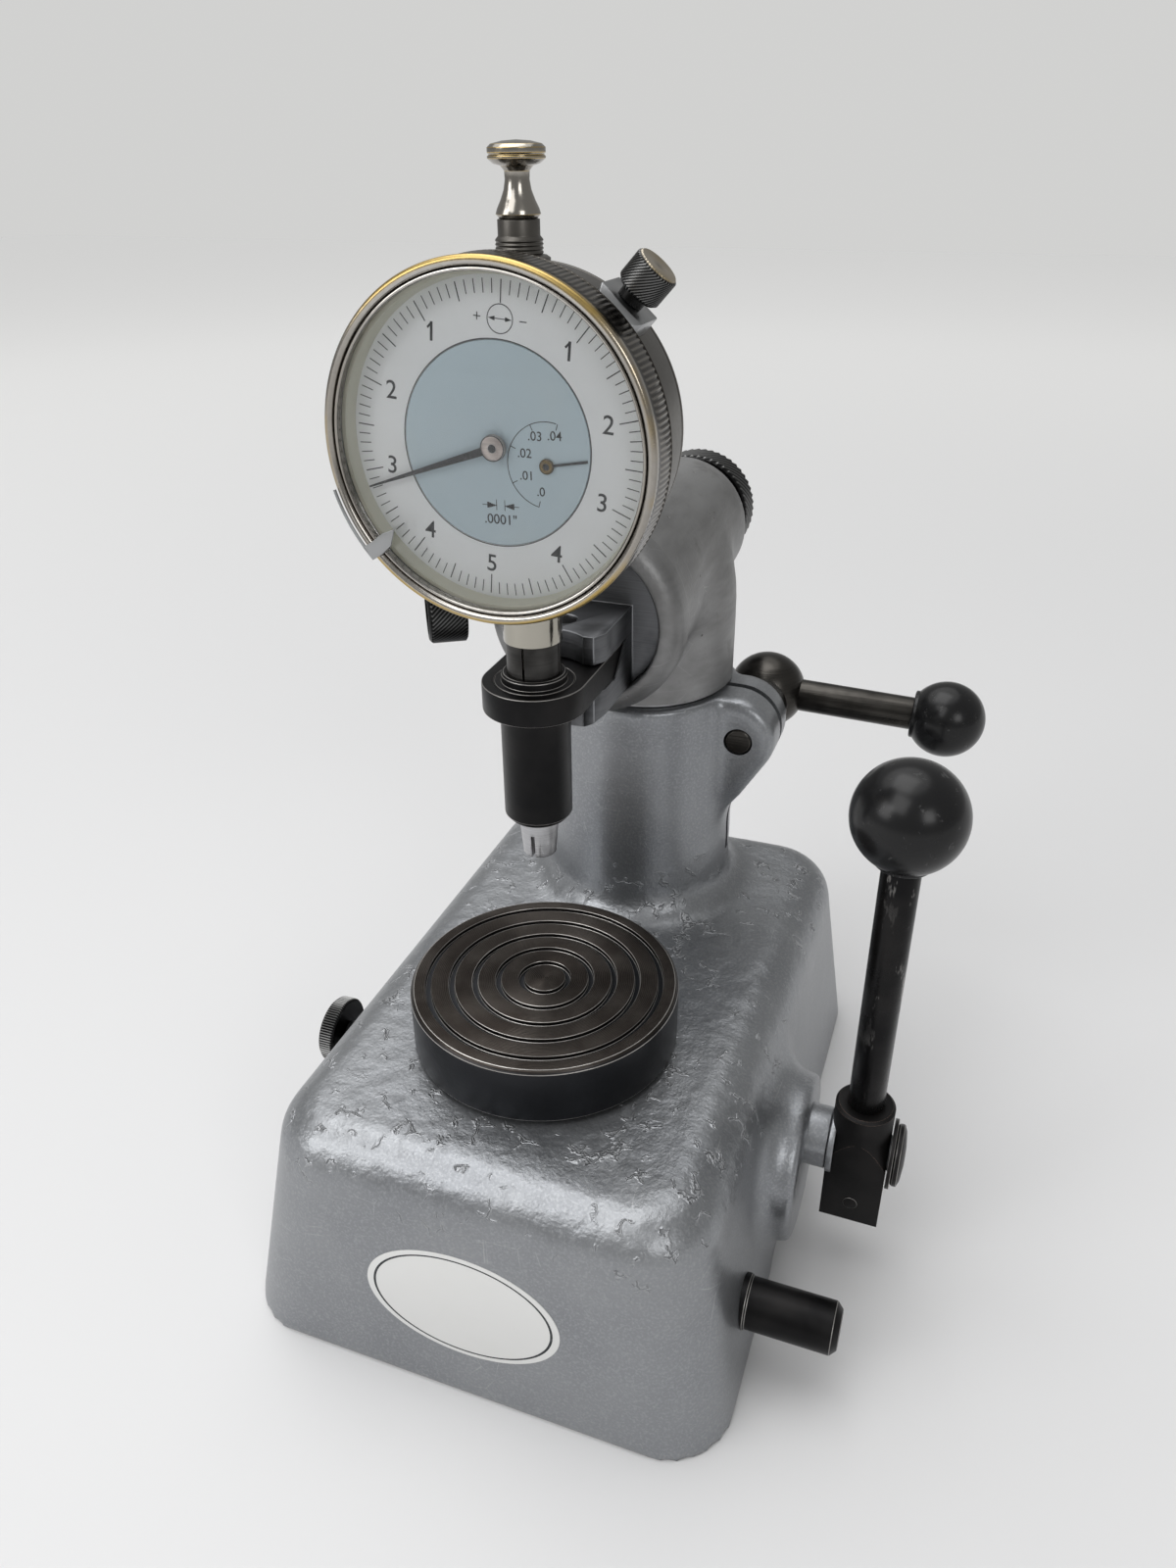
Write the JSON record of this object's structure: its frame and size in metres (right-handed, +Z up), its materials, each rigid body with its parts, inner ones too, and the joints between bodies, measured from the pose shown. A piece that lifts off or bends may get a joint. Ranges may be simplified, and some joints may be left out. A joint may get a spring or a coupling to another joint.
{
  "type": "bore gauge setting stand",
  "caption": "Bench stand for setting bore gauges: a lever raises a grooved round table under a dial gauge held in a clamped swivel head.",
  "frame": {"origin": "on the bench, below the middle of the table", "axes": "+Z up, -Y towards the user's side of the dial, +X towards the lever"},
  "size_m": [0.1445, 0.1756, 0.2365],
  "materials": {
    "hammertone_paint": "glossy hammertone enamel, chipped",
    "bare_casting": "satin, streaked and pitted",
    "dark_steel": "dark ground steel with turned grooves",
    "bright_steel": "ground",
    "black_oxide": "satin black oxide with worn edges",
    "grey_steel": "milled",
    "bronze": "satin",
    "chrome": "bright, worn to brass in places",
    "black_plastic": "glossy",
    "crystal": "clear",
    "dial_white": "printed",
    "dial_blue": "printed",
    "cream": "satin",
    "worn_chrome": "worn"
  },
  "bodies": {
    "base": {"base_casting": "hammertone_paint", "bottom_plate": "grey_steel", "bottom_screws": "black_oxide", "spindle_bush": "bronze", "rack_bush": "bronze", "shaft_bush_inner": "bronze", "shaft_bush_outer": "hammertone_paint", "stop_pin": "black_oxide", "lock_bush": "black_oxide"},
    "table": {"table": "dark_steel", "table_spindle": "bright_steel", "rack_rod": "bright_steel"},
    "lever": {"lever_shaft": "black_oxide", "pinion": "bright_steel", "lever_hub": "black_oxide", "hub_pin": "black_oxide", "lever_washer": "grey_steel", "lever_cap": "black_oxide", "lever_rod": "black_oxide", "lever_ball": "black_plastic"},
    "table_lock": {"table_lock_screw": "black_oxide"},
    "post": {"head_post": "bright_steel"},
    "head": {"head_casting": "bare_casting"},
    "head_lock": {"head_lock_screw": "black_oxide"},
    "carrier": {"arm_carrier": "grey_steel", "rear_washer": "grey_steel", "arm_screw": "black_oxide"},
    "rear_nut": {"rear_knob": "black_oxide"},
    "arm": {"arm_plate": "black_oxide", "eye_screw": "black_oxide"},
    "gauge": {"gauge_holder": "black_oxide", "collet": "dark_steel", "probe_collar": "bright_steel", "stem": "chrome", "dial_case": "worn_chrome", "case_back": "worn_chrome", "dial_centre": "dial_blue", "top_bush": "worn_chrome", "case_lug": "worn_chrome"},
    "bezel_ring": {"bezel": "chrome", "crystal": "crystal", "crystal_ring": "cream", "dial_ring": "dial_white", "tolerance_marker": "worn_chrome"},
    "main_hand": {"pointer": "black_oxide"},
    "counter_hand": {"small_pointer": "bronze"},
    "plunger_rod": {"lift_cap": "chrome", "plunger": "bright_steel"},
    "bezel_lock": {"bezel_lock_knob": "worn_chrome"},
    "clamp": {"clamp_bolt": "black_oxide", "clamp_washer": "black_oxide", "clamp_hub": "black_oxide", "clamp_arm": "black_oxide", "clamp_ball": "black_plastic"}
  },
  "joints": [
    {"name": "lever_swing", "type": "hinge", "parent": "base", "child": "lever", "pos_m": [0.0722, 0.012, 0.0345], "axis": [1, 0, 0], "range_deg": [0, 101]},
    {"name": "table_lift", "type": "slide", "parent": "base", "child": "table", "axis": [0, 0, 1], "range_m": [0, 0.0141]},
    {"name": "table_lock_turn", "type": "hinge", "parent": "base", "child": "table_lock", "pos_m": [-0.0585, 0.003, 0.038], "axis": [1, 0, 0], "range_deg": [0, 360]},
    {"name": "head_lift", "type": "slide", "parent": "base", "child": "post", "axis": [0, 0, 1], "range_m": [0, 0.025]},
    {"name": "head_swivel", "type": "hinge", "parent": "post", "child": "head", "pos_m": [0, 0.071, 0.125], "axis": [0, 0, 1], "range_deg": [-180, 80]},
    {"name": "head_lock_turn", "type": "hinge", "parent": "head", "child": "head_lock", "pos_m": [-0.027, 0.026, 0.1483], "axis": [0.8526, 0.5225, 0], "range_deg": [0, 360]},
    {"name": "carrier_tilt", "type": "hinge", "parent": "head", "child": "carrier", "pos_m": [0, 0.03, 0.1483], "axis": [0, 1, 0], "range_deg": [-45, 45]},
    {"name": "rear_knob_turn", "type": "hinge", "parent": "carrier", "child": "rear_nut", "pos_m": [0, 0.112, 0.1483], "axis": [0, 1, 0], "range_deg": [0, 360]},
    {"name": "arm_slide", "type": "slide", "parent": "carrier", "child": "arm", "axis": [0, -1, 0], "range_m": [0, 0.008]},
    {"name": "gauge_turn", "type": "hinge", "parent": "arm", "child": "gauge", "pos_m": [0, 0, 0.1433], "axis": [0, 0, 1], "continuous": true},
    {"name": "bezel_turn", "type": "hinge", "parent": "gauge", "child": "bezel_ring", "pos_m": [0, -0.014, 0.1928], "axis": [0, 1, 0], "continuous": true},
    {"name": "pointer_turn", "type": "hinge", "parent": "gauge", "child": "main_hand", "pos_m": [0, -0.013, 0.1928], "axis": [0, 1, 0], "range_deg": [0, 1440]},
    {"name": "counter_turn", "type": "hinge", "parent": "gauge", "child": "counter_hand", "pos_m": [0.009, -0.013, 0.1903], "axis": [0, 1, 0], "range_deg": [0, 182.5]},
    {"name": "plunger_lift", "type": "slide", "parent": "gauge", "child": "plunger_rod", "axis": [0, 0, 1], "range_m": [0, 0.00102], "stiffness_N_per_m": 300, "springref_m": -0.003},
    {"name": "bezel_lock_turn", "type": "hinge", "parent": "gauge", "child": "bezel_lock", "pos_m": [0.0229, -0.004, 0.21779], "axis": [0.6756, 0, 0.7373], "range_deg": [0, 360]},
    {"name": "clamp_swing", "type": "hinge", "parent": "base", "child": "clamp", "pos_m": [0.0275, 0.0942, 0.1073], "axis": [0, 1, 0], "range_deg": [-80, 0]}
  ],
  "couplings": [
    {"joint": "table_lift", "follows": "lever_swing", "m_per_rad": 0.008},
    {"joint": "pointer_turn", "follows": "plunger_lift", "rad_per_m": 24737},
    {"joint": "counter_turn", "follows": "plunger_lift", "rad_per_m": 3135}
  ]
}
